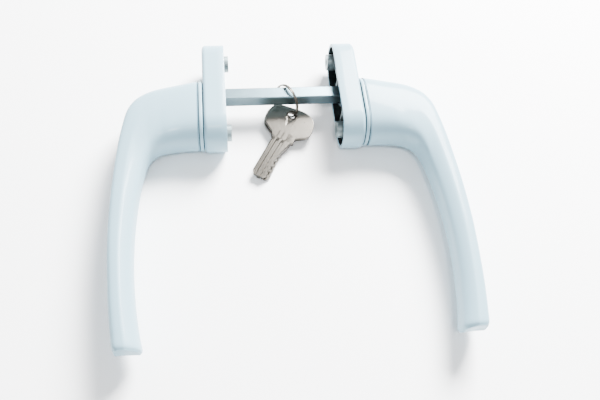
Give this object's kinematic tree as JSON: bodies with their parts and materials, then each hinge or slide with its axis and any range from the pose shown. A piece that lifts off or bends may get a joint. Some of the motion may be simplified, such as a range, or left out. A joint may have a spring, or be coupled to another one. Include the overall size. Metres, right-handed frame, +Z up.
{
  "type": "keyed window lock handle pair",
  "caption": "Pair of white lockable lever handles on oblong rosettes, joined by a square spindle, with keys on a split ring; turns a window's lock gear from both sides.",
  "frame": {"origin": "on the ground under the middle of the whole set's bounding box", "axes": "the set lies on its side: +X along the square spindle towards the right handle, -Y along the levers towards their tips, +Z up"},
  "size_m": [0.1776, 0.1734, 0.026],
  "materials": {
    "white_powder_coat": "satin powder coat on zinc die casting",
    "zinc_die_cast": "bare die-cast zinc, dull",
    "zinc_plate": "bright zinc-plated steel",
    "spring_steel": "blank spring steel",
    "nickel": "nickel plate, worn",
    "brass": "machined brass",
    "nylon": "natural nylon",
    "black_steel": "blackened steel"
  },
  "bodies": {
    "rosettes": {"left_rosette_cover": "white_powder_coat", "left_rosette_base": "zinc_die_cast", "left_bearing_bush": "nylon", "left_click_spring_upper": "spring_steel", "left_click_spring_lower": "spring_steel", "right_rosette_cover": "white_powder_coat", "right_rosette_base": "zinc_die_cast", "right_bearing_bush": "nylon", "right_click_spring_upper": "spring_steel", "right_click_spring_lower": "spring_steel"},
    "handles": {"left_lever": "white_powder_coat", "left_collar_ring": "white_powder_coat", "left_click_cam": "spring_steel", "left_retaining_washer": "zinc_plate", "left_grub_screw": "black_steel", "right_lever": "white_powder_coat", "right_collar_ring": "white_powder_coat", "right_click_cam": "spring_steel", "right_retaining_washer": "zinc_plate", "right_grub_screw": "black_steel", "square_spindle": "zinc_plate", "lock_housing": "nickel", "lock_housing_pin": "black_steel"},
    "key_plug": {"lock_plug": "brass", "lock_plug_clip": "spring_steel", "lock_wafer_1": "brass", "lock_wafer_2": "brass", "lock_wafer_3": "brass", "lock_wafer_4": "brass", "lock_wafer_spring_1": "spring_steel", "lock_wafer_spring_2": "spring_steel", "lock_wafer_spring_3": "spring_steel", "lock_wafer_spring_4": "spring_steel"},
    "bolt": {"lock_bolt": "zinc_plate"},
    "ring": {"split_ring": "nickel"},
    "front_key": {"key_front": "nickel"},
    "rear_key": {"key_rear": "nickel"}
  },
  "joints": [
    {"name": "handles_turn", "type": "hinge", "parent": "rosettes", "child": "handles", "pos_m": [0, 0.0535, 0.013], "axis": [-1, 0, 0], "range_deg": [0, 180], "deforming": ["left_click_spring_upper", "left_click_spring_lower", "right_click_spring_upper", "right_click_spring_lower"]},
    {"name": "key_plug_turn", "type": "hinge", "parent": "handles", "child": "key_plug", "pos_m": [-0.07, 0.0335, 0.013], "axis": [1, 0, 0], "range_deg": [0, 90]},
    {"name": "bolt_slide", "type": "slide", "parent": "handles", "child": "bolt", "axis": [1, 0, 0], "range_m": [0, 0.00301]},
    {"name": "ring_swing", "type": "hinge", "parent": "rosettes", "child": "ring", "pos_m": [0, 0.0535, 0.013], "axis": [-1, 0, 0], "range_deg": [0, 170]},
    {"name": "front_key_swivel", "type": "hinge", "parent": "ring", "child": "front_key", "pos_m": [0.00691, 0.04512, 0.00565], "axis": [0, 0, 1], "range_deg": [-15, 15]},
    {"name": "rear_key_swivel", "type": "hinge", "parent": "ring", "child": "rear_key", "pos_m": [0.00519, 0.04685, 0.0027], "axis": [0, 0, 1], "range_deg": [0, 15]}
  ],
  "couplings": [
    {"joint": "bolt_slide", "follows": "key_plug_turn", "m_per_rad": 0.0019099}
  ]
}
